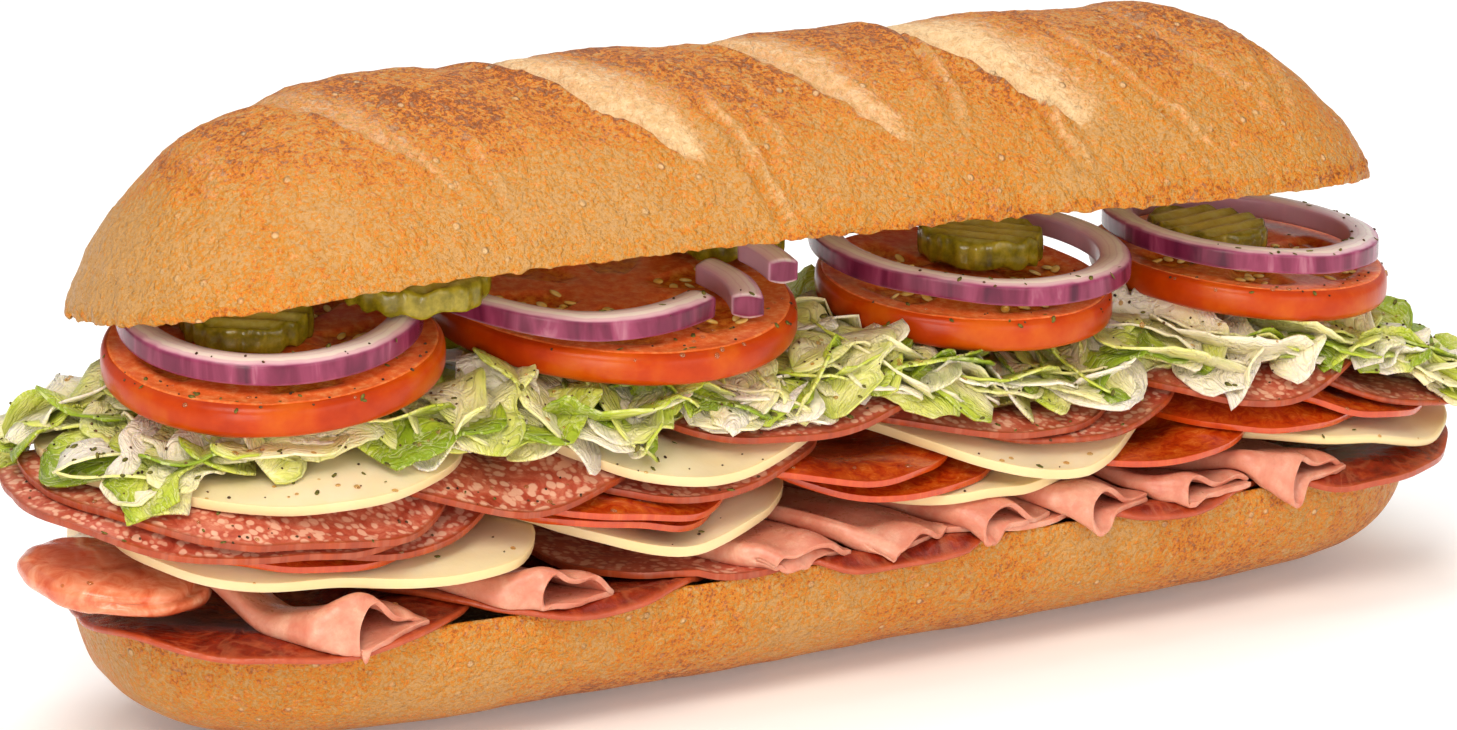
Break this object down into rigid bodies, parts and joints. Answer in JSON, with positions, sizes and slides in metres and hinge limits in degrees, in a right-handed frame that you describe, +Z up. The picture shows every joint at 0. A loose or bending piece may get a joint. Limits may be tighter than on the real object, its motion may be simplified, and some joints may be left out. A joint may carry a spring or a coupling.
{
  "type": "submarine sandwich",
  "caption": "Long split roll filled with folded ham, cured meat slices and provolone, topped with shredded lettuce, tomato, red onion rings and pickles, lid tilted open.",
  "frame": {"origin": "middle of the flat spot under the bottom half of the roll", "axes": "+X along the roll towards its lower end, -Y towards the open front where the filling shows, +Z up"},
  "size_m": [0.3417, 0.0968, 0.1297],
  "materials": {
    "crust": "golden baked crust, dry and finely wrinkled, with pale slashes; pale open crumb on the cut faces",
    "capicola": "dark red cured pork, marbled with fat, greasy",
    "salami": "dusky red salami with pale fat flecks and a brown-orange rim, moist",
    "ham": "pale pink cooked ham, moist",
    "cheese": "cream provolone, satin",
    "pepperoni": "orange-red spiced sausage, greasy",
    "lettuce": "shredded iceberg lettuce, cream stems to yellow-green leaf, moist",
    "tomato": "smooth orange-red skin and wet flesh with seeds",
    "onion": "purple skin streaked with white, pinkish white cut faces",
    "pickle": "olive-green dill pickle, wet"
  },
  "bodies": {
    "root": {"bread_bottom": "crust", "capicola_1": "capicola", "capicola_2": "capicola", "capicola_3": "capicola", "capicola_4": "capicola", "capicola_5": "capicola", "capicola_6": "capicola", "salami_1": "salami", "salami_2": "salami", "salami_3": "salami", "salami_4": "salami", "salami_5": "salami", "salami_6": "salami", "salami_7": "salami", "salami_8": "salami", "salami_9": "salami", "salami_10": "salami", "salami_11": "salami", "ham_1": "ham", "ham_2": "ham", "ham_3": "ham", "ham_4": "ham", "ham_5": "ham", "ham_6": "ham", "ham_7": "ham", "ham_8": "ham", "ham_9": "ham", "cheese_1": "cheese", "cheese_2": "cheese", "cheese_3": "cheese", "cheese_4": "cheese", "cheese_5": "cheese", "cheese_6": "cheese", "cheese_7": "cheese", "pepperoni_1": "pepperoni", "pepperoni_2": "pepperoni", "pepperoni_3": "pepperoni", "pepperoni_4": "pepperoni", "pepperoni_5": "pepperoni", "pepperoni_6": "pepperoni", "pepperoni_7": "pepperoni", "pepperoni_8": "pepperoni", "lettuce": "lettuce", "tomato_1": "tomato", "tomato_2": "tomato", "tomato_3": "tomato", "tomato_4": "tomato", "onion_ring_1": "onion", "onion_ring_2": "onion", "onion_ring_3": "onion", "onion_ring_4": "onion", "onion_bit_1": "onion", "onion_bit_2": "onion", "pickle_1": "pickle", "pickle_2": "pickle", "pickle_3": "pickle", "pickle_4": "pickle", "pickle_5": "pickle", "bread_top": "crust"}
  },
  "joints": []
}
